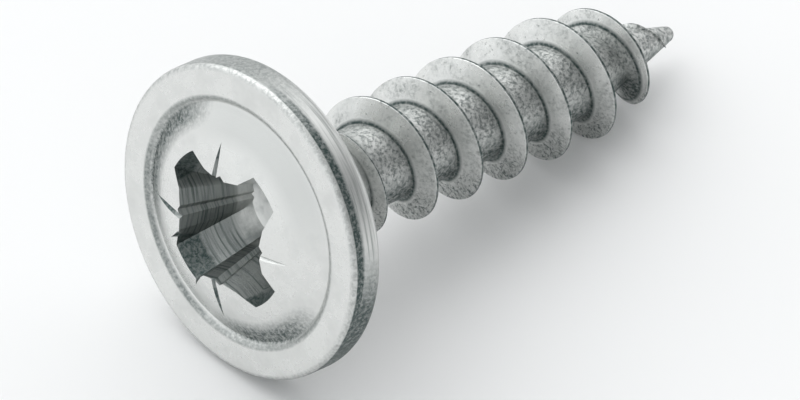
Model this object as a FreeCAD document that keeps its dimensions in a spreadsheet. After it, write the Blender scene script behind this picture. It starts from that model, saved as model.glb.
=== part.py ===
import FreeCAD, Part
import math
import os
import sys
import Sketcher
from FreeCAD import Placement, Rotation, Vector

# Wood screw with a wide flanged head, a cross recess and a coarse thread.
# It is drawn along its own axis: Z = 0 is the flat ring at the front of the
# head and +Z runs to the tip. It is laid down on its side only at the end.

# Driving dimensions, in millimetres and degrees
SIZES = [
    # Head: a flange with a flat ring round a low dome
    ("head_diameter", 9.5),
    ("flange_thickness", 1.2),
    ("front_round", 0.2),
    ("back_round", 0.35),
    ("ring_width", 0.75),
    ("ring_wall_width", 0.2),
    ("ring_wall_depth", 0.14),
    ("dome_height", 0.78),
    # Shank: neck, core and point
    ("neck_diameter", 2.9),
    ("neck_length", 2.4),
    ("neck_round", 0.3),
    ("neck_taper_length", 0.8),
    ("core_diameter", 2.5),
    ("length_under_head", 16.3),
    ("point_length", 4.2),
    ("tip_round", 0.24),
    # Thread: one start, right-handed
    ("thread_diameter", 4.0),
    ("thread_pitch", 1.8),
    ("crest_width", 0.1),
    ("flank_angle", 40.0),
    ("thread_start", 1.8),
    ("thread_start_angle", 65.2),
    ("run_in_length", 2.3),
    ("run_out_start", 2.2),
    ("run_out_length", 1.1),
    ("least_ridge", 0.06),
    ("thread_end", 0.35),
    # Cross recess: four wings round a square body with grooved corners
    ("recess_offset", 0.15),
    ("recess_turn", -8.0),
    ("recess_span", 4.8),
    ("recess_depth", 2.46),
    ("wing_wall_angle", 34.0),
    ("bottom_angle", 20.0),
    ("wing_end_width", 1.12),
    ("wing_throat_width", 1.44),
    ("wing_throat_radius", 1.65),
    ("wing_draft", 4.5),
    ("body_width", 2.0),
    ("body_across_corners", 3.16),
    ("body_draft", 17.0),
    ("corner_notch", 0.12),
    # Ticks: four darts pressed into the dome between the wings
    ("tick_offset", 0.45),
    ("tick_start_radius", 1.1),
    ("tick_end_radius", 2.85),
    ("tick_width", 0.5),
    ("tick_lift", 0.19),
    # How the screw is turned about its axis where it lies
    ("rest_roll", 48.5),
]

doc = FreeCAD.newDocument("wood_screw")
sheet = doc.addObject("Spreadsheet::Sheet", "size")
for row, (name, number) in enumerate(SIZES, start=1):
    sheet.set("A%d" % row, name)
    sheet.set("B%d" % row, str(number))
    sheet.setAlias("B%d" % row, name)
doc.recompute()


def value(text):
    """The number that an expression on the sheet gives."""
    return float(sheet.evalExpression(text))


# Lengths and levels that follow from the driving ones, as expressions
HEAD_R = "(size.head_diameter / 2)"
RING_OUTER_R = "(%s - size.front_round)" % HEAD_R
RING_INNER_R = "(%s - size.ring_width)" % RING_OUTER_R
DOME_EDGE_R = "(%s - size.ring_wall_width)" % RING_INNER_R
DOME_RISE = "(size.dome_height + size.ring_wall_depth)"
DOME_BALL_R = "((%s^2 + %s^2) / (2 * %s))" % (DOME_EDGE_R, DOME_RISE, DOME_RISE)
NECK_R = "(size.neck_diameter / 2)"
CORE_R = "(size.core_diameter / 2)"
SEAT_Z = "size.flange_thickness"
NECK_END_Z = "(%s + size.neck_length)" % SEAT_Z
CORE_START_Z = "(%s + size.neck_taper_length)" % NECK_END_Z
TIP_Z = "(%s + size.length_under_head)" % SEAT_Z
POINT_START_Z = "(%s - size.point_length)" % TIP_Z
POINT_RUN = "(size.point_length - size.tip_round)"
POINT_SLANT = "(atan(%s / %s) - asin(size.tip_round / sqrt(%s^2 + %s^2)))" % (
    CORE_R, POINT_RUN, CORE_R, POINT_RUN)
TIP_EDGE_R = "(size.tip_round * cos(%s))" % POINT_SLANT
TIP_EDGE_Z = "(%s - size.tip_round * (1 - sin(%s)))" % (TIP_Z, POINT_SLANT)


def dome_z(radius):
    """Expression for the level of the dome's surface at a radius."""
    return "(%s - size.dome_height - sqrt(%s^2 - (%s)^2))" % (
        DOME_BALL_R, DOME_BALL_R, radius)


# Sketches whose corners are pinned by expressions

def sketch_on(body, role, name):
    """A sketch on one of the body's own origin planes."""
    sketch = body.newObject("Sketcher::SketchObject", name)
    plane = [item for item in body.Origin.OriginFeatures if item.Role == role][0]
    sketch.AttachmentSupport = [(plane, "")]
    sketch.MapMode = "FlatFace"
    return sketch


def bind(sketch, kind, where, text):
    """Add a dimension to the sketch and bind it to an expression."""
    number = sketch.addConstraint(Sketcher.Constraint(kind, *where, value(text)))
    sketch.setExpression("Constraints[%d]" % number, text)


def arc_between(start, end, radius):
    """Arc whose way bulges to the right, or to the left if the radius is negative.

    Gives the arc, which always runs counter-clockwise, and whether it runs
    from start to end."""
    chord = end - start
    half = chord.Length / 2
    left = Vector(-chord.y, chord.x, 0).normalize()
    reach = math.copysign(math.sqrt(radius * radius - half * half), radius)
    centre = (start + end) * 0.5 + left * reach
    first, last = (start, end) if radius > 0 else (end, start)
    angles = [math.atan2(point.y - centre.y, point.x - centre.x) for point in (first, last)]
    circle = Part.Circle(centre, Vector(0, 0, 1), abs(radius))
    return Part.ArcOfCircle(circle, angles[0], angles[1]), radius > 0


def draw_outline(sketch, corners):
    """Draw a closed outline and pin every corner.

    A corner is (x, y), or (x, y, radius) where the run that ends there is an
    arc. None stands for a place on an axis of the sketch: the upright axis is
    geometry -2 and the level one -1, whose first point is the origin."""
    places = []
    for corner in corners:
        x_number = value(corner[0]) if corner[0] else 0.0
        y_number = value(corner[1]) if corner[1] else 0.0
        places.append(Vector(x_number, y_number, 0))
    ends = []
    for index, corner in enumerate(corners):
        start = places[index - 1]
        end = places[index]
        if len(corner) == 3:
            arc, forward = arc_between(start, end, value(corner[2]))
            run = sketch.addGeometry(arc, False)
        else:
            forward = True
            run = sketch.addGeometry(Part.LineSegment(start, end), False)
        ends.append((run, 1, 2) if forward else (run, 2, 1))
    for index, corner in enumerate(corners):
        run, _, last = ends[index]
        next_run, first, _ = ends[(index + 1) % len(ends)]
        sketch.addConstraint(Sketcher.Constraint("Coincident", run, last, next_run, first))
        if corner[0]:
            bind(sketch, "DistanceX", (-1, 1, run, last), corner[0])
        else:
            sketch.addConstraint(Sketcher.Constraint("PointOnObject", run, last, -2))
        if corner[1]:
            bind(sketch, "DistanceY", (-1, 1, run, last), corner[1])
        else:
            sketch.addConstraint(Sketcher.Constraint("PointOnObject", run, last, -1))
    for corner, (run, _, _) in zip(corners, ends):
        if len(corner) == 3:
            bind(sketch, "Radius", (run,), corner[2].lstrip("-"))


def turned_body(name, corners):
    """A body turned about its Z axis from an outline of (radius, level)."""
    body = doc.addObject("PartDesign::Body", name)
    sketch = sketch_on(body, "XZ_Plane", name + "_outline")
    draw_outline(sketch, corners)
    turned = body.newObject("PartDesign::Revolution", name + "_turned")
    turned.Profile = sketch
    turned.ReferenceAxis = (sketch, ["V_Axis"])
    turned.Angle = 360
    doc.recompute()
    return body


# Blank: head, neck, core and point, cold formed from one wire

blank = turned_body("blank", [
    (None, "-size.dome_height"),
    (DOME_EDGE_R, "size.ring_wall_depth", DOME_BALL_R),
    (RING_INNER_R, None),
    (RING_OUTER_R, None),
    (HEAD_R, "size.front_round", "size.front_round"),
    (HEAD_R, "%s - size.back_round" % SEAT_Z),
    ("%s - size.back_round" % HEAD_R, SEAT_Z, "size.back_round"),
    ("%s + size.neck_round" % NECK_R, SEAT_Z),
    (NECK_R, "%s + size.neck_round" % SEAT_Z, "-size.neck_round"),
    (NECK_R, NECK_END_Z),
    (CORE_R, CORE_START_Z),
    (CORE_R, POINT_START_Z),
    (TIP_EDGE_R, TIP_EDGE_Z),
    (None, TIP_Z, "size.tip_round"),
])


# Recess: what the punch leaves is a turned cone met by a tapered cross. The
# punch is drawn larger than the recess, so that it stands clear of the head

SPAN_R = "(size.recess_span / 2)"
MOUTH_Z = dome_z(SPAN_R)
PUNCH_CLEAR = "(0.2 * size.recess_span)"
PUNCH_OVER_R = "(%s + %s)" % (SPAN_R, PUNCH_CLEAR)
PUNCH_TOP_Z = "(-size.dome_height - %s)" % PUNCH_CLEAR
PUNCH_TOP_R = "(%s + (%s - %s) * tan(size.wing_wall_angle))" % (SPAN_R, MOUTH_Z, PUNCH_TOP_Z)
WING_NARROWING = (
    "((size.wing_throat_width - size.wing_end_width) / (2 * (%s - size.wing_throat_radius)))"
    % SPAN_R)
WING_OVER_HALF = "(size.wing_end_width / 2 - %s * %s)" % (PUNCH_CLEAR, WING_NARROWING)
WALL_END_Z = "(size.recess_depth - size.dome_height)"
WALL_END_R = "(%s - (%s - %s) * tan(size.wing_wall_angle))" % (SPAN_R, WALL_END_Z, MOUTH_Z)
BOTTOM_Z = "(%s + %s * tan(size.bottom_angle))" % (WALL_END_Z, WALL_END_R)

punch_cone = turned_body("punch_cone", [
    (None, PUNCH_TOP_Z),
    (PUNCH_TOP_R, PUNCH_TOP_Z),
    (WALL_END_R, WALL_END_Z),
    (None, BOTTOM_Z),
])


def negative(text):
    """The expression with its sign changed."""
    return text[1:] if text.startswith("-") else "-" + text


def cross_outline(level):
    """Corners of the cross at a level: four wings and grooved body corners."""
    below = "(%s - %s)" % (level, MOUTH_Z)
    shrink = "(1 - %s * tan(size.body_draft) / (size.body_across_corners / 2))" % below
    over_half = "(%s - %s * tan(size.wing_draft))" % (WING_OVER_HALF, below)
    throat_r = "(size.wing_throat_radius * %s)" % shrink
    throat_half = "(size.wing_throat_width / 2 * %s)" % shrink
    body_half = "(size.body_width / 2 * %s)" % shrink
    body_far = "((size.body_across_corners / sqrt(2) - size.body_width / 2) * %s)" % shrink
    notch = "((size.body_across_corners / 2 + size.corner_notch) / sqrt(2) * %s)" % shrink
    quarter = [
        (PUNCH_OVER_R, "-" + over_half),
        (PUNCH_OVER_R, over_half),
        (throat_r, throat_half),
        (body_far, body_half),
        (notch, notch),
        (body_half, body_far),
        (throat_half, throat_r),
    ]
    corners = []
    for _ in range(4):
        corners.extend(quarter)
        quarter = [(negative(y), x) for x, y in quarter]
    return corners


punch_cross = doc.addObject("PartDesign::Body", "punch_cross")
cross_sketches = []
for name, level in (("cross_top", PUNCH_TOP_Z), ("cross_low", BOTTOM_Z)):
    sketch = sketch_on(punch_cross, "XY_Plane", name)
    sketch.setExpression("AttachmentOffset.Base.z", level)
    draw_outline(sketch, cross_outline(level))
    cross_sketches.append(sketch)
cross_loft = punch_cross.newObject("PartDesign::AdditiveLoft", "cross_loft")
cross_loft.Profile = cross_sketches[0]
cross_loft.Sections = [cross_sketches[1]]
cross_loft.Ruled = True
doc.recompute()

punch_wings = doc.addObject("Part::Common", "punch_wings")
punch_wings.Base = punch_cone
punch_wings.Tool = punch_cross
doc.recompute()

turn = Rotation(Vector(0, 0, 1), value("size.recess_turn"))
punch_wings.Placement = Placement(Vector(0, value("size.recess_offset"), 0), turn)

# Each tick is a slim pyramid, lying on edge, that dips into the dome: its
# root stands a little above the dome and its nose ends on it

def tick_point(radius_name, angle):
    """Place on the dome at a radius and an angle about the ticks' own centre."""
    out = turn.multVec(Rotation(Vector(0, 0, 1), angle).multVec(Vector(value(radius_name), 0, 0)))
    place = out + Vector(0, value("size.tick_offset"), 0)
    return Vector(place.x, place.y, value(dome_z(repr(place.Length))))


TICK_HALF_SIDE = "(size.tick_width / (2 * sqrt(2)))"
up = Vector(0, 0, 1)
on_edge = Rotation(Vector(0, 1, 0), 45)
ticks = []
for number in range(4):
    tick = doc.addObject("Part::Wedge", "tick_%d" % (number + 1))
    for low in ("Xmin", "Zmin"):
        tick.setExpression(low, "-" + TICK_HALF_SIDE)
    for high in ("Xmax", "Zmax"):
        tick.setExpression(high, TICK_HALF_SIDE)
    for point in ("X2min", "X2max", "Z2min", "Z2max", "Ymin"):
        setattr(tick, point, 0)
    angle = 45 + 90 * number
    root = tick_point("size.tick_start_radius", angle) - up * value("size.tick_lift")
    way = tick_point("size.tick_end_radius", angle) - root
    tick.Ymax = way.Length
    tick.Placement = Placement(root, Rotation(way.cross(up), way, up, "YZX") * on_edge)
    ticks.append(tick)

punch = doc.addObject("Part::MultiFuse", "recess_punch")
punch.Shapes = [punch_wings] + ticks
doc.recompute()

recessed_blank = doc.addObject("Part::Cut", "recessed_blank")
recessed_blank.Base = blank
recessed_blank.Tool = punch
doc.recompute()


# Thread: a blade-like ridge whose crest rises off the neck, runs at full
# height and sinks back to a low nub at the point

PITCH = value("size.thread_pitch")
THREAD_R = value("size.thread_diameter / 2")
RIDGE_START_Z = value("%s + size.thread_start" % SEAT_Z)
RIDGE_END_Z = value("%s - size.thread_end" % TIP_Z)
FULL_Z = RIDGE_START_Z + value("size.run_in_length")
RUN_OUT_Z = value("%s - size.run_out_start" % TIP_Z)
NUB_Z = RUN_OUT_Z + value("size.run_out_length")
FLANK_SLOPE = value("tan(size.flank_angle / 2)")
POINT_SLOPE = value("tan(%s)" % POINT_SLANT)
LEAST_RIDGE = value("size.least_ridge")
HALF_CREST = value("size.crest_width / 2")
START_ANGLE = math.radians(value("size.thread_start_angle"))
# The ridge's foot lies inside the core, at this share of the core's radius
SUNK_SHARE = 0.8
# Places at which a length of the ridge is set out, and the step in turns
# over which its direction is taken
RIDGE_STEPS = 7
WAY_STEP = 0.001


def core_radius(level):
    """Radius of the core or of the point at a level."""
    past = max(0.0, level - value(POINT_START_Z))
    return value(CORE_R) - past * POINT_SLOPE


def crest_radius(level):
    """Radius of the thread's crest at a level."""
    if level < FULL_Z:
        low = value(NECK_R) + LEAST_RIDGE
        share = (level - RIDGE_START_Z) / (FULL_Z - RIDGE_START_Z)
        return low + (THREAD_R - low) * share
    full_depth = THREAD_R - value(CORE_R)
    share = (level - RUN_OUT_Z) / (NUB_Z - RUN_OUT_Z)
    share = min(1.0, max(0.0, share))
    return core_radius(level) + full_depth + (LEAST_RIDGE - full_depth) * share


def ridge_corners(turns):
    """The four corners of the ridge's section so many turns from its start."""
    level = RIDGE_START_Z + PITCH * turns
    angle = START_ANGLE + 2 * math.pi * turns
    crest = crest_radius(level)
    root = core_radius(level) * SUNK_SHARE
    half_root = HALF_CREST + (crest - root) * FLANK_SLOPE
    section = [(root, -half_root), (crest, -HALF_CREST), (crest, HALF_CREST), (root, half_root)]
    corners = []
    for radius, along in section:
        corners.append(Vector(radius * math.cos(angle), radius * math.sin(angle), level + along))
    return corners


def ridge_ways(turns, span):
    """Directions of the ridge's four edges there, as long as a span of turns."""
    before = ridge_corners(turns - WAY_STEP)
    after = ridge_corners(turns + WAY_STEP)
    return [(b - a) * (span / (2 * WAY_STEP)) for a, b in zip(before, after)]


def ridge_edges(first, last):
    """Four helical edges of the ridge between two counts of turns."""
    span = last - first
    start_ways = ridge_ways(first, span)
    end_ways = ridge_ways(last, span)
    marks = [step / RIDGE_STEPS for step in range(RIDGE_STEPS + 1)]
    rows = [ridge_corners(first + span * mark) for mark in marks]
    edges = []
    for corner in range(4):
        curve = Part.BSplineCurve()
        curve.interpolate(
            Points=[row[corner] for row in rows],
            Parameters=marks,
            InitialTangent=start_ways[corner],
            FinalTangent=end_ways[corner])
        edges.append(curve.toShape())
    return edges


def thread_ridge():
    """Solid ridge, made in lengths of about half a turn.

    A ruled face is told that its two edges run the same way."""
    turns = (RIDGE_END_Z - RIDGE_START_Z) / PITCH
    lengths = int(math.ceil(2 * turns))
    faces = []
    for number in range(lengths):
        edges = ridge_edges(turns * number / lengths, turns * (number + 1) / lengths)
        for corner, edge in enumerate(edges):
            faces.append(Part.makeRuledSurface(edge, edges[(corner + 1) % 4], 1))
    for end in (0, turns):
        corners = ridge_corners(end)
        faces.append(Part.Face(Part.makePolygon(corners + [corners[0]])))
    shell = Part.makeShell(faces)
    shell.sewShape()
    solid = Part.makeSolid(shell)
    if solid.Volume < 0:
        solid.reverse()
    return solid


ridge = doc.addObject("Part::Feature", "thread_ridge")
ridge.Shape = thread_ridge()

screw = doc.addObject("Part::Fuse", "wood_screw")
screw.Base = recessed_blank
screw.Tool = ridge
doc.recompute()


# Rest: the screw lies on the rim of its flange and on a thread crest

def rest_tilt():
    """Angle by which the tip dips when the flange and a crest are down."""
    round_r = value("size.back_round")
    pivot_z = value("%s - size.back_round" % SEAT_Z)
    pivot_r = value("%s - size.back_round" % HEAD_R)
    roll = value("size.rest_roll") - value("size.thread_start_angle")
    level = RIDGE_START_Z + PITCH * (roll % 360) / 360
    tilts = []
    while level < RIDGE_END_Z:
        along = level + HALF_CREST - pivot_z
        inward = pivot_r - crest_radius(level)
        reach = math.hypot(along, inward)
        tilts.append(math.atan2(inward, along) + math.asin(round_r / reach))
        level += PITCH
    return math.degrees(min(tilts))


tilt = rest_tilt()
roll_down = Rotation(Vector(0, 0, 1), -value("size.rest_roll"))
tip_forward = Rotation(Vector(0, 1, 0), 90 + tilt)
laid = tip_forward * roll_down

# Its lowest point goes to Z = 0, under the middle of its length and width
laid_blank = blank.Shape.transformed(Placement(Vector(0, 0, 0), laid).toMatrix())
box = laid_blank.optimalBoundingBox(False, False)
screw.Placement = Placement(Vector(-box.Center.x, -box.Center.y, -box.ZMin), laid)
screw.Label = "wood_screw"
doc.recompute()


# Check every object, then write the one piece

for item in doc.Objects:
    if "Invalid" in item.State or "Error" in item.State:
        sys.exit("%s did not build: %s" % (item.Label, item.State))
parts = [screw]
for part in parts:
    shape = part.Shape
    if shape.isNull() or not shape.isValid():
        sys.exit("%s has no valid shape" % part.Label)
os.makedirs("parts", exist_ok=True)
for part in parts:
    part.Shape.exportStep("parts/%s.step" % part.Label)
    print("%s: %d solid, %.2f cubic mm, tilt %.2f degrees" % (
        part.Label, len(part.Shape.Solids), part.Shape.Volume, tilt))
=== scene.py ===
# %% [markdown]
# # A zinc-plated wood screw
#
# One small steel screw lies on a pale table. The real one is cold formed from
# a single wire: the head is upset, a punch presses the cross recess, and the
# thread is rolled. The lesson builds it in the same order.

# %% Load the frame
import math
import bmesh
import bpy
from mathutils import Matrix, Vector


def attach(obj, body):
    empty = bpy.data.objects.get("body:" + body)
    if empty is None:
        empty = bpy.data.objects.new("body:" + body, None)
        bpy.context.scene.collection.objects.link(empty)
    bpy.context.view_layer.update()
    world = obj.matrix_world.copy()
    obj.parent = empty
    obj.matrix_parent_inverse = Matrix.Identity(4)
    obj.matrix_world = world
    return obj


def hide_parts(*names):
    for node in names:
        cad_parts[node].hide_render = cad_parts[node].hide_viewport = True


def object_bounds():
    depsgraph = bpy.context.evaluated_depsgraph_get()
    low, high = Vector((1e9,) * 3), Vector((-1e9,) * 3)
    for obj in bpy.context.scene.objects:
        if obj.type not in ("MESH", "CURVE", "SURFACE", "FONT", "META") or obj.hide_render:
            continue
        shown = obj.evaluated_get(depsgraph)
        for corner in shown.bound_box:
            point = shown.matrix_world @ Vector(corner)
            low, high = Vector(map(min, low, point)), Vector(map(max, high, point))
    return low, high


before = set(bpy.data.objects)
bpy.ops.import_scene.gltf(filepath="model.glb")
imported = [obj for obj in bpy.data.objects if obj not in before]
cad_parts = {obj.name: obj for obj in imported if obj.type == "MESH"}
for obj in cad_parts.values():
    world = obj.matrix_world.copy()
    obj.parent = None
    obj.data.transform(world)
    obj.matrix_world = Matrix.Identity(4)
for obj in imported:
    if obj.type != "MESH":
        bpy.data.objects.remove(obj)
cad_low, cad_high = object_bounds()
print("frame box in mm:", [round(1000 * number, 2) for number in (*cad_low, *cad_high)])

# %% [markdown]
# ## Sizes
#
# Everything is drawn in millimetres along the screw's own axis. Level 0 is
# the flat ring at the front of the head, and levels grow towards the tip. A
# name that ends in R is a radius. The numbers are those of the solid, so the
# fine model and the solid agree.

# %% Sizes of the head
HEAD_R = 4.75
FLANGE = 1.2
FRONT_ROUND = 0.2
BACK_ROUND = 0.35
RING_INNER_R = 3.8
GROOVE_R = 3.6
GROOVE_DEPTH = 0.14
DOME_HEIGHT = 0.78
print("head across in mm:", 2 * HEAD_R)

# %% Sizes of the neck, the core and the point
NECK_R = 1.45
NECK_ROUND = 0.3
NECK_END = 3.6
CORE_R = 1.25
CORE_START = 4.4
POINT_START = 13.3
TIP = 17.5
TIP_ROUND = 0.24
TIP_BALL = TIP - TIP_ROUND
taper_length = TIP_BALL - POINT_START
# The point's side is the line that leaves the core's edge and touches the tip's ball.
POINT_ANGLE = (math.atan2(CORE_R, taper_length)
               - math.asin(TIP_ROUND / math.hypot(CORE_R, taper_length)))
POINT_SLOPE = math.tan(POINT_ANGLE)
print("side of the point in degrees:", round(math.degrees(POINT_ANGLE), 2))

# %% [markdown]
# ## Laying the screw down
#
# A screw on a table rests on the rim of its head and on one crest of its
# thread, so its tip dips a little. The object could be turned at the end, but
# a finished piece has to sit unturned at the origin, so its mesh is turned
# instead. One matrix takes the upright drawing to that place and from
# millimetres to metres.

# %% Matrix from the drawing to the table
REST_ROLL = math.radians(48.5)
TIP_DIP = math.radians(12.5)
laid = Matrix.Rotation(math.pi / 2 + TIP_DIP, 4, "Y") @ Matrix.Rotation(-REST_ROLL, 4, "Z")
tip_reach = TIP_BALL * math.cos(TIP_DIP) + TIP_ROUND
rim_drop = ((FLANGE - BACK_ROUND) * math.sin(TIP_DIP)
            + (HEAD_R - BACK_ROUND) * math.cos(TIP_DIP) + BACK_ROUND)
origin_mm = Vector((1000 * cad_high.x - tip_reach, 0, 1000 * cad_low.z + rim_drop))
to_table = Matrix.Scale(0.001, 4) @ Matrix.Translation(origin_mm) @ laid
head_centre = to_table.to_translation()
print("head's front centre in mm:", [round(number, 2) for number in origin_mm])

# %% [markdown]
# ## Turned shapes
#
# Head, neck, core and point are all round about one axis, as wire is. A
# Screw modifier could turn them, but an outline of radius and level, swept
# round by a short function, gives the same and can be reused for the punch.
# Rounded edges are short arcs in the outline.

# %% Helpers for meshes
def closed_mesh(made, name):
    """Mesh from the shapes in a bmesh, normals outwards."""
    bmesh.ops.recalc_face_normals(made, faces=made.faces)
    mesh = bpy.data.meshes.new(name)
    made.to_mesh(mesh)
    made.free()
    return mesh


def mesh_object(name, mesh):
    """A new object in the scene for a mesh."""
    thing = bpy.data.objects.new(name, mesh)
    bpy.context.collection.objects.link(thing)
    return thing


def plain_result(thing):
    """The object's mesh with its modifiers worked out, as a plain mesh."""
    seen = thing.evaluated_get(bpy.context.evaluated_depsgraph_get())
    return bpy.data.meshes.new_from_object(seen)


# %% Helpers for an outline
def arc_points(centre_r, centre_z, radius, start_deg, end_deg, count):
    """Points of an arc in the outline, from one angle to the other, both ends kept."""
    points = []
    for step in range(count + 1):
        angle = math.radians(start_deg + (end_deg - start_deg) * step / count)
        points.append((centre_r + radius * math.cos(angle), centre_z + radius * math.sin(angle)))
    return points


def between(start, end, count):
    """Points on a straight line after its start, up to and with its end."""
    return [(start[0] + (end[0] - start[0]) * step / count,
             start[1] + (end[1] - start[1]) * step / count) for step in range(1, count + 1)]


print("halves of a line:", between((0, 0), (1, 2), count=2))

# %% Helper that sweeps an outline round the axis
ON_AXIS = 1e-6


def turned_mesh(name, outline, segments):
    """Closed mesh swept round the axis. The outline runs from axis to axis."""
    made = bmesh.new()
    turns = [2 * math.pi * step / segments for step in range(segments)]
    rings = []
    for radius, level in outline:
        angles = turns if radius > ON_AXIS else [0]
        rings.append([made.verts.new((radius * math.cos(angle), radius * math.sin(angle), level))
                      for angle in angles])
    for low, high in zip(rings, rings[1:]):
        for step in range(segments):
            following = (step + 1) % segments
            corners = [low[step % len(low)], low[following % len(low)],
                       high[following % len(high)], high[step % len(high)]]
            # A ring on the axis is one point, which is kept once.
            made.faces.new(list(dict.fromkeys(corners)))
    return closed_mesh(made, name)


# %% [markdown]
# ## The head
#
# The upset head is a wide flat flange with a low dome inside a shallow
# groove. The outline starts in the middle of the dome, which is a slice of a
# large ball, runs down into the groove, up the short wall to the flat ring,
# and over the rounded rim to the neck. An outline of points gives each round
# its own radius, which one bevel over all edges would not.

# %% Dome of the head
dome_rise = DOME_HEIGHT + GROOVE_DEPTH
DOME_BALL = (GROOVE_R ** 2 + dome_rise ** 2) / (2 * dome_rise)


def dome_level(radius):
    """Level of the dome's surface at a radius."""
    return DOME_BALL - DOME_HEIGHT - math.sqrt(DOME_BALL ** 2 - radius ** 2)


print("radius of the dome's ball in mm:", round(DOME_BALL, 2))

# %% Outline of the head
DOME_STEPS = 18
GROOVE_ROUND = 0.05
# Steps outwards and upwards from the groove's floor, in shares of its round.
GROOVE_FLOOR = [(0, 0.2), (1, 0.7)]
# Steps from the ring's inner edge, as radius and level in mm.
RING_EDGE = [(-0.05, 0.03), (-0.01, 0.004), (0.06, 0)]


def head_outline():
    """Outline from the middle of the dome over the rim to the foot of the neck."""
    radii = [GROOVE_R * step / DOME_STEPS for step in range(DOME_STEPS)] + [GROOVE_R - GROOVE_ROUND]
    dome = [(radius, dome_level(radius)) for radius in radii]
    groove = [(GROOVE_R + out * GROOVE_ROUND, GROOVE_DEPTH - rise * GROOVE_ROUND)
              for out, rise in GROOVE_FLOOR]
    ring_edge = [(RING_INNER_R + out, level) for out, level in RING_EDGE]
    ring = between(ring_edge[-1], (HEAD_R - FRONT_ROUND, 0), count=3)
    front = arc_points(HEAD_R - FRONT_ROUND, FRONT_ROUND, FRONT_ROUND, -90, 0, count=6)[1:]
    rim = between(front[-1], (HEAD_R, FLANGE - BACK_ROUND), count=4)
    back_edge = arc_points(HEAD_R - BACK_ROUND, FLANGE - BACK_ROUND, BACK_ROUND, 0, 90, count=8)[1:]
    seat = between(back_edge[-1], (NECK_R + NECK_ROUND, FLANGE), count=8)
    return dome + groove + ring_edge + ring + front + rim + back_edge + seat


print("points on the head's outline:", len(head_outline()))

# %% [markdown]
# ## The shank
#
# Below the head the wire stays plain for a short neck, then thins to the core
# on which the thread is wound, and ends in a blunt point. A small bend at
# each change keeps the shading soft there, as rolled metal has no knife edge
# between a cylinder and a cone.

# %% Outline of the shank
BEND = 0.1
BEND_DEPTH = 0.01


def shank_outline():
    """Outline from the foot of the neck along the core to the tip."""
    fillet = arc_points(NECK_R + NECK_ROUND, FLANGE + NECK_ROUND, NECK_ROUND, 270, 180, count=6)[1:]
    neck = between(fillet[-1], (NECK_R, NECK_END - BEND), count=8)
    taper = [(NECK_R - BEND_DEPTH, NECK_END)]
    taper += between(taper[-1], (CORE_R + BEND_DEPTH, CORE_START), count=4)
    core = between((CORE_R, CORE_START + BEND), (CORE_R, POINT_START - 2 * BEND), count=30)
    tip_edge = (TIP_ROUND * math.cos(POINT_ANGLE), TIP - TIP_ROUND * (1 - math.sin(POINT_ANGLE)))
    point = between((CORE_R - 2 * BEND_DEPTH, POINT_START + 1.5 * BEND), tip_edge, count=16)
    nose = arc_points(0, TIP_BALL, TIP_ROUND, math.degrees(POINT_ANGLE), 90, count=7)[1:]
    return fillet + neck + taper + core + point + nose


print("points on the shank's outline:", len(shank_outline()))

# %% Sweep the blank
BLANK_SEGMENTS = 160
blank = mesh_object("blank", turned_mesh("blank", head_outline() + shank_outline(), BLANK_SEGMENTS))
print("blank faces:", len(blank.data.polygons))

# %% [markdown]
# ## The recess
#
# A hardened punch presses the cross into the head. Its shape is a turned cone
# met by a tapered cross: four wings, and a groove down each corner of the
# square body between them. The hollow could be modelled face by face, but
# cutting the punch out of the blank gives clean edges where it meets the
# dome, as on the real screw.

# %% Sizes of the recess
WINGS = 4
RECESS_OFFSET = 0.15
RECESS_TURN = math.radians(-8)
SPAN_R = 2.4
WALL_SLOPE = math.tan(math.radians(34))
WALL_END = 1.68
BOTTOM_SLOPE = math.tan(math.radians(20))
MOUTH = dome_level(SPAN_R)
wall_end_r = SPAN_R - (WALL_END - MOUTH) * WALL_SLOPE
bottom_level = WALL_END + wall_end_r * BOTTOM_SLOPE
print("deepest level of the recess in mm:", round(bottom_level, 2))

# %% Sizes of the wings and of the body between them
WING_END_HALF = 0.56
WING_THROAT_R = 1.65
WING_THROAT_HALF = 0.72
WING_DRAFT = math.tan(math.radians(4.5))
BODY_HALF = 1.0
BODY_CORNER_R = 1.58
BODY_DRAFT = math.tan(math.radians(17))
CORNER_NOTCH = 0.12
# The punch reaches out past the mouth and up above the dome, so that it cuts right through.
OVER_R = 3.36
OVER_LEVEL = -1.74
wing_narrowing = (WING_THROAT_HALF - WING_END_HALF) / (SPAN_R - WING_THROAT_R)
WING_OVER_HALF = WING_END_HALF - (OVER_R - SPAN_R) * wing_narrowing
print("width of a wing at its mouth in mm:", 2 * WING_END_HALF)

# %% Outline of the cross at a level
def cross_ring(level):
    """Corners of the cross at a level, counter-clockwise from the +X wing."""
    below_mouth = level - MOUTH
    shrink = 1 - below_mouth * BODY_DRAFT / BODY_CORNER_R
    over_half = WING_OVER_HALF - below_mouth * WING_DRAFT
    throat_half = WING_THROAT_HALF * shrink
    throat_r = WING_THROAT_R * shrink
    body_half = BODY_HALF * shrink
    body_far = (BODY_CORNER_R * math.sqrt(2) - BODY_HALF) * shrink
    notch = (BODY_CORNER_R + CORNER_NOTCH) / math.sqrt(2) * shrink
    quarter = [(OVER_R, -over_half), (OVER_R, over_half), (throat_r, throat_half),
               (body_far, body_half), (notch, notch), (body_half, body_far),
               (throat_half, throat_r)]
    ring = []
    for _ in range(WINGS):
        ring += [(x, y, level) for x, y in quarter]
        quarter = [(-y, x) for x, y in quarter]
    return ring


print("corners of the cross:", len(cross_ring(MOUTH)))

# %% Tapered cross between two levels
def cross_mesh(name, top, bottom):
    """Closed tapered prism with the cross's outline at both ends."""
    made = bmesh.new()
    low, high = [[made.verts.new(corner) for corner in cross_ring(level)] for level in (top, bottom)]
    for step in range(len(low)):
        following = (step + 1) % len(low)
        made.faces.new([low[step], low[following], high[following], high[step]])
    made.faces.new(low)
    made.faces.new(high)
    return closed_mesh(made, name)


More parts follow.
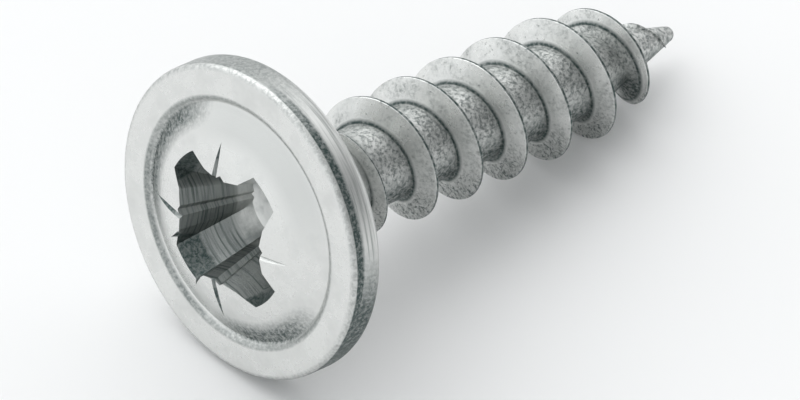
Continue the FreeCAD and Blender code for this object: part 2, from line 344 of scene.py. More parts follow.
cross = mesh_object("punch_cross", cross_mesh("punch_cross", OVER_LEVEL, bottom_level))
print("cross faces:", len(cross.data.polygons))

# %% Punch: a turned cone met by the cross
PUNCH_SEGMENTS = 96


def join_shapes(first, second, how):
    """Boolean of two objects, kept in the first one. The second one goes away."""
    step = first.modifiers.new("boolean", "BOOLEAN")
    step.operation = how
    step.solver = "EXACT"
    step.object = second
    result = plain_result(first)
    first.modifiers.remove(step)
    first.data = result
    bpy.data.objects.remove(second)


cone_outline = [
    (0, OVER_LEVEL),
    (SPAN_R + (MOUTH - OVER_LEVEL) * WALL_SLOPE, OVER_LEVEL),
    (wall_end_r, WALL_END),
    (0, bottom_level),
]
punch = mesh_object("punch", turned_mesh("punch", cone_outline, PUNCH_SEGMENTS))
join_shapes(punch, cross, "INTERSECT")
punch.data.transform(Matrix.Translation((0, RECESS_OFFSET, 0)) @ Matrix.Rotation(RECESS_TURN, 4, "Z"))
print("punch faces:", len(punch.data.polygons))

# %% Cut the recess out of the blank
join_shapes(blank, punch, "DIFFERENCE")
print("blank with recess, faces:", len(blank.data.polygons))

# %% [markdown]
# ## The ticks
#
# Between the wings sit four short marks, pressed in by thin ribs on the
# punch. Each is a dart with a V section that starts at the body's corner and
# fades out on the dome. A bump in the material would vanish at a low angle,
# so the darts are cut as real grooves.

# %% Helper for a dart
def add_dart(made, start, end, half):
    """A closed dart: a diamond at its start that narrows to a point at its end."""
    side = (end - start).cross(Vector((0, 0, 1))).normalized() * half
    lift = side.cross(end - start).normalized() * half
    corners = [made.verts.new(place) for place in (start + side, start - lift, start - side, start + lift)]
    nose = made.verts.new(end)
    made.faces.new(corners)
    for step in range(len(corners)):
        made.faces.new([corners[step], corners[(step + 1) % len(corners)], nose])


# %% Press the ticks
TICK_OFFSET = 0.45
TICK_START_R = 1.1
TICK_END_R = 2.85
TICK_HALF = 0.25
TICK_LIFT = 0.19


def tick_point(radius, angle):
    """Place on the dome at a radius and an angle about the ticks' own centre."""
    place = Vector((radius * math.cos(angle), radius * math.sin(angle) + TICK_OFFSET, 0))
    return Vector((place.x, place.y, dome_level(place.length)))


darts = bmesh.new()
for number in range(WINGS):
    angle = RECESS_TURN + 2 * math.pi * (number + 0.5) / WINGS
    root = tick_point(TICK_START_R, angle) - Vector((0, 0, TICK_LIFT))
    add_dart(darts, root, tick_point(TICK_END_R, angle), TICK_HALF)
join_shapes(blank, mesh_object("ticks", closed_mesh(darts, "ticks")), "DIFFERENCE")
print("blank with ticks, faces:", len(blank.data.polygons))

# %% [markdown]
# ## Torn corners
#
# The punch leaves the metal under strain, and at two corners of one wing the
# edge has torn a little way out over the dome. The tears are the same darts,
# only smaller: short, thin and no deeper than a scratch, so the helper for
# the ticks makes them too.

# %% Tear two corners of the mouth
TEARS = [((-0.40, 2.00), (-0.42, 2.72)), ((0.90, 2.02), (1.12, 2.64))]
TEAR_HALF = 0.09

tears = bmesh.new()
for root, tip in TEARS:
    ends = [Vector((x, y, dome_level(math.hypot(x, y)))) for x, y in (root, tip)]
    add_dart(tears, *ends, TEAR_HALF)
join_shapes(blank, mesh_object("tears", closed_mesh(tears, "tears")), "DIFFERENCE")
print("blank with torn corners, faces:", len(blank.data.polygons))

# %% [markdown]
# ## The thread
#
# A rolled thread is one ridge that winds round the core. A Screw modifier
# could sweep it too, but with the same section at the same radius all along.
# In Geometry Nodes it is a spiral whose radius follows the core, with a
# section swept along it: the ridge grows at the start, stays full along the
# shank and fades at the point.

# %% Sizes of the thread
PITCH = 1.8
THREAD_START = 3.0
THREAD_END = 17.15
START_ANGLE = math.radians(65.2)
THREAD_R = 2.0
CREST_HALF = 0.05
CREST_ROUND = 0.035
FLANK_SLOPE = math.tan(math.radians(20))
RUN_IN_END = 5.3
RUN_OUT_START = 15.3
RUN_OUT_END = 16.4
LEAST_RIDGE = 0.06
SUNK = 0.15
RAGGEDNESS = 0.02
print("turns of the thread:", round((THREAD_END - THREAD_START) / PITCH, 2))

# %% [markdown]
# ## Helpers for node trees
#
# A node tree is a chain of small sums. Four helpers keep it short: one adds
# a node, one sets or links a socket, one does a sum, and one moves a number
# from one range to another. The thread and the materials share them.

# %% Helpers for a node tree
def add_node(tree, kind, **settings):
    """A node with its settings."""
    node = tree.nodes.new(kind)
    for name, setting in settings.items():
        setattr(node, name, setting)
    return node


def feed(tree, socket, source):
    """Set a socket to a value, or link it to another socket. Nothing is done for None."""
    if isinstance(source, bpy.types.NodeSocket):
        tree.links.new(source, socket)
    elif source is not None:
        socket.default_value = source


def calc(tree, operation, first, second=None):
    """A Math node; gives its output."""
    node = add_node(tree, "ShaderNodeMath", operation=operation)
    for socket, source in zip(node.inputs, (first, second)):
        feed(tree, socket, source)
    return node.outputs[0]


def ramp(tree, number, low, high, to_low, to_high):
    """A number moved from one range to another, held at the ends."""
    node = add_node(tree, "ShaderNodeMapRange", clamp=True)
    for socket, source in zip(node.inputs, (number, low, high, to_low, to_high)):
        feed(tree, socket, source)
    return node.outputs[0]


# %% [markdown]
# ## Section of the ridge
#
# Across, the ridge is a trapezoid with a narrow crest and sloping flanks. Its
# corners are rounded, because a rolling die leaves no knife edge, and its
# foot is sunk in the core, so that the two can be joined without a seam.

# %% Nodes of the section
CREST_STEPS = 3


def thread_section(tree, given, depth):
    """The ridge's section: a trapezoid with rounded corners, its foot sunk in the core."""
    full = calc(tree, "ADD", depth, given["Sunk"])
    spread = calc(tree, "MULTIPLY", full, given["Flank slope"])
    foot_half = calc(tree, "ADD", given["Crest half"], spread)
    shape = add_node(tree, "GeometryNodeCurvePrimitiveQuadrilateral", mode="TRAPEZOID")
    feed(tree, shape.inputs["Bottom Width"], calc(tree, "MULTIPLY", foot_half, 2))
    feed(tree, shape.inputs["Top Width"], calc(tree, "MULTIPLY", given["Crest half"], 2))
    feed(tree, shape.inputs["Height"], full)
    shape.inputs["Offset"].default_value = 0
    rounded = add_node(tree, "GeometryNodeFilletCurve", mode="POLY")
    feed(tree, rounded.inputs["Curve"], shape.outputs[0])
    feed(tree, rounded.inputs["Radius"], given["Crest round"])
    rounded.inputs["Count"].default_value = CREST_STEPS
    rounded.inputs["Limit Radius"].default_value = True
    lift = add_node(tree, "ShaderNodeCombineXYZ")
    feed(tree, lift.inputs["X"], calc(tree, "SUBTRACT", calc(tree, "MULTIPLY", full, 0.5), given["Sunk"]))
    turned = add_node(tree, "GeometryNodeTransform")
    feed(tree, turned.inputs["Geometry"], rounded.outputs[0])
    feed(tree, turned.inputs["Translation"], lift.outputs[0])
    turned.inputs["Rotation"].default_value = (0, 0, -math.pi / 2)
    return turned.outputs[0]


# %% [markdown]
# ## Path of the ridge
#
# The Spiral node winds a plain spiral of radius 1. Each of its points is then
# moved: turned to where the thread starts, and pulled in or out to the skin
# of the neck, the core or the tapered point at its level.

# %% Nodes of the path
STEPS_A_TURN = 96


def unit_spiral(tree, given):
    """Spiral of radius 1 from level 0 through all turns; reversed, it winds right-handed."""
    rise = calc(tree, "SUBTRACT", given["End"], given["Start"])
    spiral = add_node(tree, "GeometryNodeCurveSpiral")
    spiral.inputs["Resolution"].default_value = STEPS_A_TURN
    feed(tree, spiral.inputs["Rotations"], calc(tree, "DIVIDE", rise, given["Pitch"]))
    feed(tree, spiral.inputs["Height"], rise)
    spiral.inputs["Start Radius"].default_value = 1
    spiral.inputs["End Radius"].default_value = 1
    spiral.inputs["Reverse"].default_value = True
    return spiral.outputs[0]


def skin_radius(tree, given, level, shank):
    """Radius of the blank at a level: that of the shank, less what the point takes off."""
    past = calc(tree, "MAXIMUM", calc(tree, "SUBTRACT", level, given["Point start"]), 0)
    return calc(tree, "SUBTRACT", shank, calc(tree, "MULTIPLY", past, given["Point slope"]))


def path_place(tree, given, here, level, skin):
    """Place of a spiral point once it is turned to the start angle and moved to the skin."""
    turned = add_node(tree, "ShaderNodeVectorRotate", rotation_type="Z_AXIS")
    feed(tree, turned.inputs["Vector"], here)
    feed(tree, turned.inputs["Angle"], given["Start angle"])
    flat = add_node(tree, "ShaderNodeSeparateXYZ")
    feed(tree, flat.inputs[0], turned.outputs[0])
    place = add_node(tree, "ShaderNodeCombineXYZ")
    feed(tree, place.inputs["X"], calc(tree, "MULTIPLY", flat.outputs["X"], skin))
    feed(tree, place.inputs["Y"], calc(tree, "MULTIPLY", flat.outputs["Y"], skin))
    feed(tree, place.inputs["Z"], level)
    return place.outputs[0]


# %% [markdown]
# ## Height of the ridge
#
# The ridge climbs off the neck, is full along the core and sinks to a low nub
# near the tip: the lower of a rising and a fading line. A little noise makes
# the crest wobble by hundredths of a millimetre, as rolled metal does. The
# noise is the same on every run.

# %% Nodes of the height
WOBBLE_SCALE = 2.5
WOBBLE_DETAIL = 3
LEAST_SHARE = 0.02


def ridge_share(tree, given, here, level, shank, depth):
    """Height of the ridge at a level, as a share of its full depth."""
    first_crest = calc(tree, "ADD", given["Neck radius"], given["Least ridge"])
    crest = ramp(tree, level, given["Start"], given["Full from"], first_crest, given["Thread radius"])
    rising = calc(tree, "SUBTRACT", crest, shank)
    fading = ramp(tree, level, given["Fade from"], given["Fade to"], depth, given["Least ridge"])
    ragged = add_node(tree, "ShaderNodeTexNoise", noise_dimensions="3D")
    feed(tree, ragged.inputs["Vector"], here)
    ragged.inputs["Scale"].default_value = WOBBLE_SCALE
    ragged.inputs["Detail"].default_value = WOBBLE_DETAIL
    wobble = calc(tree, "MULTIPLY", calc(tree, "SUBTRACT", ragged.outputs[0], 0.5), given["Raggedness"])
    height = calc(tree, "ADD", calc(tree, "MINIMUM", rising, fading), wobble)
    return calc(tree, "MAXIMUM", calc(tree, "DIVIDE", height, depth), LEAST_SHARE)


# %% [markdown]
# ## The whole tree
#
# The tree has one named input for each size, so that the thread can be tried
# out in the modifier panel. Curve normals that point up keep each section
# square to the axis. The tree ends in Realize Instances and Set Material,
# because an export leaves instances out.

# %% Inputs of the tree
THREAD_SIZES = [
    ("Pitch", PITCH), ("Start", THREAD_START), ("End", THREAD_END), ("Start angle", START_ANGLE),
    ("Thread radius", THREAD_R), ("Neck radius", NECK_R), ("Core radius", CORE_R),
    ("Neck end", NECK_END), ("Core start", CORE_START), ("Point start", POINT_START),
    ("Point slope", POINT_SLOPE), ("Full from", RUN_IN_END), ("Fade from", RUN_OUT_START),
    ("Fade to", RUN_OUT_END), ("Least ridge", LEAST_RIDGE), ("Crest half", CREST_HALF),
    ("Crest round", CREST_ROUND), ("Flank slope", FLANK_SLOPE), ("Sunk", SUNK),
    ("Raggedness", RAGGEDNESS),
]


def tree_with_inputs():
    """Empty tree with its sockets, and the outputs of its input node."""
    tree = bpy.data.node_groups.new("thread", "GeometryNodeTree")
    face = tree.interface
    face.new_socket("Geometry", in_out="INPUT", socket_type="NodeSocketGeometry")
    for name, _ in THREAD_SIZES:
        face.new_socket(name, in_out="INPUT", socket_type="NodeSocketFloat")
    face.new_socket("Material", in_out="INPUT", socket_type="NodeSocketMaterial")
    face.new_socket("Geometry", in_out="OUTPUT", socket_type="NodeSocketGeometry")
    return tree, add_node(tree, "NodeGroupInput").outputs


print("sizes that the tree takes:", len(THREAD_SIZES))

# %% Tree that winds the thread
def thread_tree():
    """Tree that sweeps the section along the path, scaled by the height."""
    tree, given = tree_with_inputs()
    here = add_node(tree, "GeometryNodeInputPosition").outputs[0]
    place = add_node(tree, "ShaderNodeSeparateXYZ")
    feed(tree, place.inputs[0], here)
    level = calc(tree, "ADD", place.outputs["Z"], given["Start"])
    shank = ramp(tree, level, given["Neck end"], given["Core start"],
                 given["Neck radius"], given["Core radius"])
    skin = skin_radius(tree, given, level, shank)
    depth = calc(tree, "SUBTRACT", given["Thread radius"], given["Core radius"])

    kept = add_node(tree, "GeometryNodeCaptureAttribute", domain="POINT")
    kept.capture_items.new("FLOAT", "Height")
    feed(tree, kept.inputs["Geometry"], unit_spiral(tree, given))
    feed(tree, kept.inputs["Height"], ridge_share(tree, given, here, level, shank, depth))
    wound = add_node(tree, "GeometryNodeSetPosition")
    feed(tree, wound.inputs["Geometry"], kept.outputs["Geometry"])
    feed(tree, wound.inputs["Position"], path_place(tree, given, here, level, skin))
    upright = add_node(tree, "GeometryNodeSetCurveNormal", mode="Z_UP")
    feed(tree, upright.inputs["Curve"], wound.outputs[0])
    swept = add_node(tree, "GeometryNodeCurveToMesh")
    feed(tree, swept.inputs["Curve"], upright.outputs[0])
    feed(tree, swept.inputs["Profile Curve"], thread_section(tree, given, depth))
    feed(tree, swept.inputs["Scale"], kept.outputs["Height"])
    swept.inputs["Fill Caps"].default_value = True

    real = add_node(tree, "GeometryNodeRealizeInstances")
    feed(tree, real.inputs["Geometry"], swept.outputs[0])
    painted = add_node(tree, "GeometryNodeSetMaterial")
    feed(tree, painted.inputs["Geometry"], real.outputs[0])
    feed(tree, painted.inputs["Material"], given["Material"])
    feed(tree, add_node(tree, "NodeGroupOutput").inputs[0], painted.outputs[0])
    return tree


# %% [markdown]
# ## Running the tree
#
# The modifier's inputs are set by their identifiers before the object is
# looked at for the first time. The result is copied into a plain mesh and the
# modifier goes, so that the thread can be joined like any other shape.

# %% Wind the thread
zinc = bpy.data.materials.new("bright_zinc")
thread = mesh_object("thread", bpy.data.meshes.new("thread_seed"))
winding = thread.modifiers.new("winding", "NODES")
winding.node_group = thread_tree()
identifiers = {item.name: item.identifier for item in winding.node_group.interface.items_tree
               if item.in_out == "INPUT"}
for name, number in THREAD_SIZES:
    winding[identifiers[name]] = float(number)
winding[identifiers["Material"]] = zinc
thread_mesh = plain_result(thread)
thread.modifiers.clear()
thread.data = thread_mesh
print("thread faces:", len(thread_mesh.polygons))

# %% [markdown]
# ## One piece
#
# The thread and the blank are one piece of steel, so a boolean joins them
# into one skin instead of leaving one shape stuck through the other.

# %% Join thread and blank
join_shapes(blank, thread, "UNION")
screw = blank
screw.name = "wood_screw_fine"
screw.data.name = "wood_screw_fine"
print("screw faces:", len(screw.data.polygons))

# %% [markdown]
# ## Marks for the material
#
# Two places follow the shape: the walls of the recess, where shade is painted,
# and the crest of the thread, which is painted darker. Painting them by hand
# would be slow, and limits in millimetres alone would spill onto the neck. So
# each face is asked, by its place and its direction, whether it belongs, and
# keeps the answer as an attribute that the material reads.

# %% Faces of the recess
# Limits: a level past the recess, a depth in mm, and shares of a face's direction.
BELOW_RECESS = 2.6
UNDER_DOME = 0.004
LOOKS_BACK = 0.2
LOOKS_OUT = 0.4
NEAR_BACK = FLANGE - 0.1
TINY = 0.001


def in_cross(face):
    """True for a face sunk below the dome within the punch's reach, but not on the neck or the back."""
    place, normal = face.center, face.normal
    reach = math.hypot(place.x, place.y)
    if place.z > BELOW_RECESS or reach > OVER_R or normal.z > LOOKS_BACK:
        return False
    outwards = (normal.x * place.x + normal.y * place.y) / max(reach, TINY)
    on_neck = place.z > NEAR_BACK and reach > CORE_R and outwards > LOOKS_OUT
    return place.z > dome_level(reach) + UNDER_DOME and not on_neck


# %% Faces of the crest
OFF_THE_CORE = 0.12
STEEPEST_CREST = 0.5
CREST_FROM = THREAD_START - 0.2


def on_crest(face):
    """True for a face that stands off the core and faces straight out."""
    place = face.center
    shank = NECK_R if place.z < CORE_START else CORE_R
    core = shank - max(0, place.z - POINT_START) * POINT_SLOPE
    stands_off = math.hypot(place.x, place.y) > max(core, 0) + OFF_THE_CORE
    return place.z > CREST_FROM and stands_off and abs(face.normal.z) < STEEPEST_CREST


for mark_name, belongs in (("recess", in_cross), ("crest", on_crest)):
    marks = [float(belongs(face)) for face in screw.data.polygons]
    screw.data.attributes.new(mark_name, "FLOAT", "FACE").data.foreach_set("value", marks)
    print(mark_name, "faces:", int(sum(marks)))

# %% [markdown]
# ## Onto the table
#
# The marks are made in the drawing's millimetres, and only then is the mesh
# laid on the table. Edges sharper than a set angle stay crisp and the rest
# are shaded smooth, which is cheaper than bevelling each edge.

# %% Lay the screw down and name it
CRISP_ANGLE = math.radians(32)

screw.data.transform(to_table)
screw.data.materials.clear()
screw.data.materials.append(zinc)
for polygon in screw.data.polygons:
    polygon.use_smooth = True
screw.data.set_sharp_from_angle(angle=CRISP_ANGLE)
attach(screw, "root")
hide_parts("wood_screw")
print("screw triangles:", sum(len(polygon.vertices) - 2 for polygon in screw.data.polygons))

# %% [markdown]
# ## Bright zinc
#
# Zinc plating is a thin pale metal skin, a little blue, never a mirror. The
# screws tumble against each other in the bath and in the box, so what stands
# proud is rubbed bright, and the plating is grainy and scratched in places.
# Shade is painted into the colour too: hollows, creases and the sides turned
# from the light are darker. One number for each spot, how dull or shaded it
# is, drives colour, roughness and bump.
#
# That number needs to know where it is on the screw, so a Mapping node first
# turns Object coordinates back into the drawing's own millimetres.

# %% Place on the screw, read by the material
zinc.use_nodes = True
paint = zinc.node_tree
skin = paint.nodes["Principled BSDF"]
skin.inputs["Metallic"].default_value = 1

spot = add_node(paint, "ShaderNodeMapping", vector_type="TEXTURE")
feed(paint, spot.inputs["Vector"], add_node(paint, "ShaderNodeTexCoord").outputs["Object"])
spot.inputs["Location"].default_value = head_centre
spot.inputs["Rotation"].default_value = laid.to_euler()
spot.inputs["Scale"].default_value = (0.001, 0.001, 0.001)
drawing = spot.outputs[0]
axes = add_node(paint, "ShaderNodeSeparateXYZ")
feed(paint, axes.inputs[0], drawing)
level = axes.outputs["Z"]
squares = [calc(paint, "MULTIPLY", axes.outputs[axis], axes.outputs[axis]) for axis in "XY"]
radius = calc(paint, "SQRT", calc(paint, "ADD", *squares))
in_recess = add_node(paint, "ShaderNodeAttribute", attribute_name="recess").outputs["Fac"]
crest = add_node(paint, "ShaderNodeAttribute", attribute_name="crest").outputs["Fac"]
print("nodes that find the place:", len(paint.nodes))

# %% [markdown]
# ## Masks
#
# A mask is a number from 0 to 1 that says how much a spot belongs to a
# place. Masks multiplied give the spots that belong to all of the places, and
# the largest of several masks gives the spots that belong to any of them.

# %% Helpers for masks
def all_of(*masks):
    """Product of masks."""
    product = masks[0]
    for mask in masks[1:]:
        product = calc(paint, "MULTIPLY", product, mask)
    return product


def most_of(*masks):
    """The largest of masks."""
    largest = masks[0]
    for mask in masks[1:]:
        largest = calc(paint, "MAXIMUM", largest, mask)
    return largest


def above(number, low, high):
    """0 up to the low end, 1 from the high end on."""
    return ramp(paint, number, low, high, 0, 1)


def below(number, low, high):
    """1 up to the low end, 0 from the high end on."""
    return ramp(paint, number, low, high, 1, 0)


def band(number, low, low_full, high_full, high):
    """1 between the two full ends, falling to 0 at low and high."""
    return all_of(above(number, low, low_full), below(number, high_full, high))


# %% Helper for a side of the screw
DOWN = 0
LEFT = 90
UP = 180
RIGHT = -90


def towards(degrees, low, high):
    """1 on the side at this angle round the axis, named as the picture shows it, 0 on the other."""
    side = math.radians(degrees)
    share = calc(paint, "ADD", calc(paint, "MULTIPLY", axes.outputs["X"], math.cos(side)),
                 calc(paint, "MULTIPLY", axes.outputs["Y"], math.sin(side)))
    return above(calc(paint, "DIVIDE", share, radius), low, high)


print("quarter turn from down to left in degrees:", LEFT - DOWN)

# %% [markdown]
# ## Grain of the plating
#
# Zinc grows in crystals, so its dull patches are grainy at more than one
# size, and tumbling adds scratches. A picture of the metal would be fixed to
# one screw. Noise at a few scales gives the same grain all over without a
# seam, and a stretched noise gives lines.

# %% Noises in the drawing's millimetres
def grain(scale, detail=4.0, roughness=0.6, stretch=None, distortion=0.0):
    """Noise with so many spots to a millimetre, squeezed along each axis by the stretch."""
    source = drawing
    if stretch:
        pulled = add_node(paint, "ShaderNodeMapping")
        feed(paint, pulled.inputs["Vector"], drawing)
        pulled.inputs["Scale"].default_value = stretch
        source = pulled.outputs[0]
    noise = add_node(paint, "ShaderNodeTexNoise", noise_dimensions="3D")
    feed(paint, noise.inputs["Vector"], source)
    noise.inputs["Scale"].default_value = scale
    noise.inputs["Detail"].default_value = detail
    noise.inputs["Roughness"].default_value = roughness
    noise.inputs["Distortion"].default_value = distortion
    return noise.outputs[0]


coarse = grain(9, detail=6, roughness=0.7, distortion=0.4)
fine = grain(30, roughness=0.75)
cloud = grain(0.9)
# Rolling leaves lines round the axis: they change quickly along it and slowly round it.
rolled = grain(1.6, roughness=0.5, stretch=(0.35, 0.35, 9.0))
scraped = grain(2.6, detail=6, roughness=0.75, stretch=(3, 3, 1), distortion=1.2)

specks = above(coarse, 0.60, 0.66)
patch = above(cloud, 0.42, 0.62)
lines = above(rolled, 0.46, 0.66)
scratch = above(scraped, 0.47, 0.6)
print("nodes with the noises:", len(paint.nodes))

# %% Helper for a patchy tone
def patchy(noise, low=0, high=1, *, least, most):
    """A number between least and most: the least where the noise is low, the most where it is high."""
    return ramp(paint, noise, low, high, least, most)


# %% [markdown]
# ## Front of the head
#
# The dome and the flat ring are rubbed nearly white. Shade is painted in two
# crescents of the groove, along the ring's inner edge and on the outer part of
# the dome towards the right, and the rounding at the rim is a little darker.
# Faint clouds and specks are grain. Each of these is one stroke: a place times
# a tone.
# The order of the strokes doesn't matter, because the largest wins.

# %% Painted shade and grain on the front
DOME_SHADE = 0.16
FRONT_SPECKS = 0.12

open_face = calc(paint, "SUBTRACT", 1, in_recess)
front = all_of(open_face, below(level, 0.3, 0.5))
# Painted shade: the foot of the dome and the groove, darker towards the upper left and the bottom.
shade_crescents = all_of(front, band(radius, 2.85, 3.3, GROOVE_R, RING_INNER_R),
                   most_of(towards(UP - 30, 0.62, 0.92), towards(DOWN + 14, 0.74, 0.97)))
# Painted shade along the ring's inner edge, all round and more on the left.
inner_edge_shade = all_of(front, band(radius, GROOVE_R, GROOVE_R + 0.1, RING_INNER_R, RING_INNER_R + 0.08))
outer_edge = all_of(front, above(radius, HEAD_R - 0.2, HEAD_R - 0.07))
# Painted shade on the outer part of the dome towards the right.
dome_edge_shade = all_of(front, band(radius, 2.4, 2.9, 3.5, RING_INNER_R), towards(RIGHT - 30, 0.4, 0.9))

# Painted shade and grain of the front: the largest of the strokes.
front_grain_and_shade = most_of(
    all_of(shade_crescents, patchy(coarse, 0.35, 0.6, least=0.35, most=0.95)),
    all_of(dome_edge_shade, DOME_SHADE),
    all_of(inner_edge_shade, patchy(coarse, 0.3, 0.6, least=0.2, most=0.6)),
    all_of(inner_edge_shade, towards(LEFT + 10, 0.2, 0.8), patchy(coarse, 0.35, 0.6, least=0.4, most=0.75)),
    all_of(outer_edge, patchy(coarse, 0.4, 0.6, least=0.1, most=0.45)),
    all_of(front, patchy(cloud, 0.45, 0.65, least=0, most=0.1)),
    all_of(front, specks, FRONT_SPECKS))
print("nodes with the front:", len(paint.nodes))

# %% [markdown]
# ## Rim and back of the head
#
# The rim is a low wall, and fine lines run round it. Shade is painted on it:
# dark at its lowest part, less so at its highest, and along its front edge some
# way round to the right. The flange's back only has faint scratches. The lamps
# don't give these tones; they are painted shade in the colour.

# %% Painted shade, lines and scratches on the rim and the back
rim_wall = all_of(above(radius, HEAD_R - 0.13, HEAD_R - 0.03), above(level, 0.1, 0.16))
# Painted shade: the rim's front edge towards the right, its lowest part, and a little its highest part.
rim_front_shade = all_of(rim_wall, band(level, 0.1, 0.16, 0.36, 0.52), towards(RIGHT + 25, -0.1, 0.8))
rim_low_shade = all_of(rim_wall, towards(DOWN - 10, 0.55, 0.9))
rim_high_shade = all_of(rim_wall, towards(UP + 12, 0.5, 0.9))
back_face = all_of(open_face, band(level, FLANGE - 0.15, FLANGE - 0.08, FLANGE + 0.1, FLANGE + 0.3))

# Painted shade on the rim, with its lines and the scratches on the back.
rim_lines_and_shade = most_of(
    all_of(most_of(rim_front_shade, rim_low_shade), patchy(coarse, 0.38, 0.6, least=0.7, most=1.1)),
    all_of(rim_high_shade, patchy(coarse, 0.4, 0.6, least=0.4, most=0.7)),
    all_of(rim_wall, patchy(lines, least=0.08, most=0.5)),
    all_of(back_face, patchy(scratch, least=0.1, most=0.45)))
print("nodes with the rim:", len(paint.nodes))

# %% [markdown]
# ## Core and thread
#
# The core between two turns has dark grains all round, and painted shade on
# its lower side and in the corner at the foot of the ridge. The flanks are
# brighter, with cloudy patches and scratches, and painted shade with scratches
# on their lower side. The narrow crest is darker and grainy.

# %% Painted shade and grain behind the head
FLANK_SPECKS = 0.7

behind = all_of(open_face, above(level, FLANGE + 1.2, FLANGE + 1.4))
core_skin = all_of(behind, below(radius, CORE_R + 0.05, CORE_R + 0.15))
# Painted shade in the corner at the foot of the ridge.
foot = all_of(behind, band(radius, CORE_R - 0.01, CORE_R + 0.04, CORE_R + 0.08, NECK_R))
flank = all_of(behind, above(radius, CORE_R + 0.07, CORE_R + 0.25))

# Painted shade and grain of the thread: the largest of the strokes.
thread_grain_and_shade = most_of(
    all_of(core_skin, patchy(coarse, 0.42, 0.60, least=0.1, most=0.75)),
    # Painted shade on the lower side of the core.
    all_of(core_skin, towards(DOWN - 12, 0.4, 0.98), patchy(coarse, 0.36, 0.6, least=0.45, most=1.1)),
    all_of(foot, patchy(coarse, 0.3, 0.55, least=0.6, most=1)),
    all_of(flank, patch, patchy(coarse, 0.42, 0.65, least=0.12, most=0.55)),
    # Painted shade, with scratches, on the lower side of the flanks.
    all_of(flank, towards(DOWN + 8, 0.4, 0.95), patchy(scratch, least=0.2, most=1.0)),
    all_of(flank, specks, FLANK_SPECKS),
    all_of(crest, patchy(coarse, 0.4, 0.6, least=0.6, most=1.1)))
print("nodes with the thread:", len(paint.nodes))

# %% [markdown]
# ## Recess
#
# Shade is painted inside the cross. Its walls are dark, with the punch's
# own lines down to the floor, and the outer ends of the wings are darkest.
# Only the wing on the right is left bright, so one side of the axis is left out.

# %% Painted shade and lines in the recess
# Levels between which the lined walls give way to the floor, and radii where the ends begin.
WALLS_END = (1.1, 1.3)
WING_ENDS = (1.9, 2.15)

# Painted shade in the wings of the cross, all but the one on the right.
shaded_wings = all_of(in_recess, calc(paint, "SUBTRACT", 1, towards(RIGHT, 0.5, 0.75)))
recess_lines_and_shade = most_of(
    all_of(shaded_wings, below(level, *WALLS_END), patchy(lines, least=0.58, most=0.88)),
    all_of(shaded_wings, above(radius, *WING_ENDS), patchy(coarse, 0.4, 0.6, least=0.8, most=1)),
    all_of(shaded_wings, patchy(patch, least=0.05, most=0.65)),
    all_of(in_recess, patchy(lines, least=0.12, most=0.25)))
print("nodes with the recess:", len(paint.nodes))

# %% [markdown]
# ## From dullness and painted shade to colour, roughness and bump
#
# Bright zinc is a pale metal with a fairly sharp gleam. The dark end is a
# dark blue grey that stands for dull zinc and for painted shade alike, and it
# is rougher. Both ends are set once, and the one number blends between them,
# so the three never disagree at a spot.

# %% Colour and roughness
BRIGHT_ZINC = (0.745, 0.752, 0.737, 1)
DULL_AND_SHADED_ZINC = (0.060, 0.086, 0.083, 1)
BRIGHT_ROUGHNESS = 0.27
DULL_ROUGHNESS = 0.45

# Painted shade and dull grain together: the largest of all the strokes.
dull_and_shade = most_of(front_grain_and_shade, rim_lines_and_shade, thread_grain_and_shade, recess_lines_and_shade)
tone = add_node(paint, "ShaderNodeMix", data_type="RGBA")
feed(paint, tone.inputs["Factor"], dull_and_shade)
tone.inputs[6].default_value = BRIGHT_ZINC
tone.inputs[7].default_value = DULL_AND_SHADED_ZINC
feed(paint, skin.inputs["Base Color"], tone.outputs[2])
feed(paint, skin.inputs["Roughness"], patchy(dull_and_shade, least=BRIGHT_ROUGHNESS, most=DULL_ROUGHNESS))
print("roughness from", BRIGHT_ROUGHNESS, "to", DULL_ROUGHNESS)

# %% Bump
BUMP_STRENGTH = 0.6
BUMP_DISTANCE = 0.00003
BUMP_WHERE_BRIGHT = 0.25
FINE_BUMP = 0.3

coarse_bump = calc(paint, "MULTIPLY", coarse, patchy(dull_and_shade, least=BUMP_WHERE_BRIGHT, most=1))
fine_bump = calc(paint, "MULTIPLY", fine, FINE_BUMP)
relief = add_node(paint, "ShaderNodeBump")
relief.inputs["Strength"].default_value = BUMP_STRENGTH
relief.inputs["Distance"].default_value = BUMP_DISTANCE
feed(paint, relief.inputs["Height"], calc(paint, "ADD", coarse_bump, fine_bump))
feed(paint, skin.inputs["Normal"], relief.outputs[0])
print("nodes in the zinc:", len(paint.nodes))

# %% [markdown]
# ## Table
#
# The screw lies on a white table that fills the picture. A sheet that curves
# up behind would do too, but the camera looks down steeply, so a flat one is
# enough. It is matt, and its own pale colour makes it white: a stronger lamp
# would do that as well, but would burn out the bright zinc first.

# %% Floor
FLOOR_HALF = 0.6
FLOOR_COLOUR = (0.9, 0.9, 0.9, 1)
FLOOR_ROUGHNESS = 0.9

floor_mesh = bpy.data.meshes.new("floor")
floor_mesh.from_pydata([(-FLOOR_HALF, -FLOOR_HALF, 0), (FLOOR_HALF, -FLOOR_HALF, 0),
                        (FLOOR_HALF, FLOOR_HALF, 0), (-FLOOR_HALF, FLOOR_HALF, 0)], [], [(0, 1, 2, 3)])
floor = mesh_object("floor", floor_mesh)
floor_paint = bpy.data.materials.new("white_table")
floor_paint.use_nodes = True
floor_skin = floor_paint.node_tree.nodes["Principled BSDF"]
floor_skin.inputs["Base Color"].default_value = FLOOR_COLOUR
floor_skin.inputs["Roughness"].default_value = FLOOR_ROUGHNESS
floor_mesh.materials.append(floor_paint)
print("floor across in m:", 2 * FLOOR_HALF)

# %% [markdown]
# ## Camera
#
# A small part is photographed from well back with a long lens, which keeps
# its sides nearly parallel. The camera looks down from the head's side. Its
# lens follows from the scale at which the screw is shown, and it is shifted
# so that the middle of the head falls on its place in the picture.

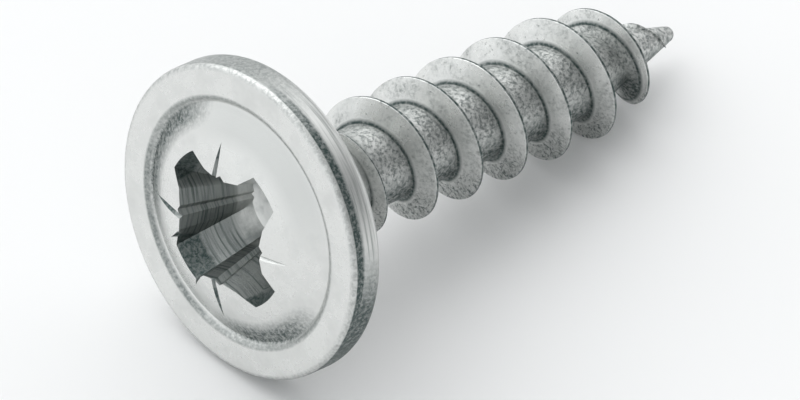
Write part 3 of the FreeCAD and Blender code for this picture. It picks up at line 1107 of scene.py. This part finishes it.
# %% Helpers to stand things round the screw
def direction(azimuth, height):
    """Unit vector to an azimuth and a height in degrees; azimuth 0 is towards -Y."""
    angle, tall = math.radians(azimuth), math.radians(height)
    return Vector((math.sin(angle) * math.cos(tall), -math.cos(angle) * math.cos(tall), math.sin(tall)))


def stand(thing, place, back):
    """Link a camera or a lamp, put it at a place and turn its back to a direction."""
    bpy.context.collection.objects.link(thing)
    thing.location = place
    thing.rotation_euler = back.to_track_quat("Z", "Y").to_euler()


print("straight up:", [round(number, 3) for number in direction(0, 90)])

# %% Camera at the picture's viewing angle
VIEW_AZIMUTH = -43.0
VIEW_HEIGHT = 44.9
VIEW_DISTANCE = 0.45
PIXELS_PER_MM = 35.262
HEAD_PIXEL = (237.04, 223.36)
PICTURE = (800, 400)
SENSOR_MM = 36

back = direction(VIEW_AZIMUTH, VIEW_HEIGHT)
right = direction(VIEW_AZIMUTH + 90, 0)
up = back.cross(right)
aside = (PICTURE[0] / 2 - HEAD_PIXEL[0]) / PIXELS_PER_MM / 1000
above_head = (HEAD_PIXEL[1] - PICTURE[1] / 2) / PIXELS_PER_MM / 1000
camera = bpy.data.objects.new("camera", bpy.data.cameras.new("camera"))
stand(camera, head_centre + right * aside + up * above_head + back * VIEW_DISTANCE, back)
camera.data.sensor_width = SENSOR_MM
camera.data.lens = SENSOR_MM * PIXELS_PER_MM * 1000 * VIEW_DISTANCE / PICTURE[0]
camera.data.clip_start = 0.01
camera.data.clip_end = 10
bpy.context.scene.camera = camera
print("lens in mm:", round(camera.data.lens, 1))

# %% [markdown]
# ## Lamps
#
# The key light is a large square lamp behind the screw, which gives the metal
# its broad soft gleams. A smaller and weaker one past the tip fills the
# shadows. Point lamps would leave hard dots on the metal.

# %% Two soft lamps
LAMP_DISTANCE = 0.5


def soft_lamp(name, azimuth, height, size, watts):
    """Square lamp that looks at the screw."""
    lamp = bpy.data.objects.new(name, bpy.data.lights.new(name, "AREA"))
    lamp.data.size = size
    lamp.data.energy = watts
    way = direction(azimuth, height)
    stand(lamp, way * LAMP_DISTANCE, way)


soft_lamp("key_lamp", azimuth=175, height=52, size=0.6, watts=1.28)
soft_lamp("side_lamp", azimuth=98, height=38, size=0.45, watts=0.42)

# %% [markdown]
# ## Room
#
# Metal shows its surroundings. A plain white room would leave the screw flat,
# and a modelled one is more than it needs. The world is bright to the left of
# the picture and dimmer to the right, which gives each curved face a light
# and a dark side.

# %% Light of the room
ROOM_COLOUR = (0.97, 0.99, 1.0, 1)
LEFT_END, LEFT_STRENGTH = -0.8, 1.1
RIGHT_END, RIGHT_STRENGTH = 0.7, 0.42

world = bpy.data.worlds.new("studio")
bpy.context.scene.world = world
world.use_nodes = True
room = world.node_tree
along = add_node(room, "ShaderNodeVectorMath", operation="DOT_PRODUCT")
feed(room, along.inputs[0], add_node(room, "ShaderNodeTexCoord").outputs["Generated"])
along.inputs[1].default_value = right
room_light = ramp(room, along.outputs["Value"], LEFT_END, RIGHT_END, LEFT_STRENGTH, RIGHT_STRENGTH)
feed(room, room.nodes["Background"].inputs["Strength"], room_light)
room.nodes["Background"].inputs["Color"].default_value = ROOM_COLOUR
bpy.context.scene.view_settings.view_transform = "Standard"
print("room from", LEFT_STRENGTH, "on the left to", RIGHT_STRENGTH, "on the right")
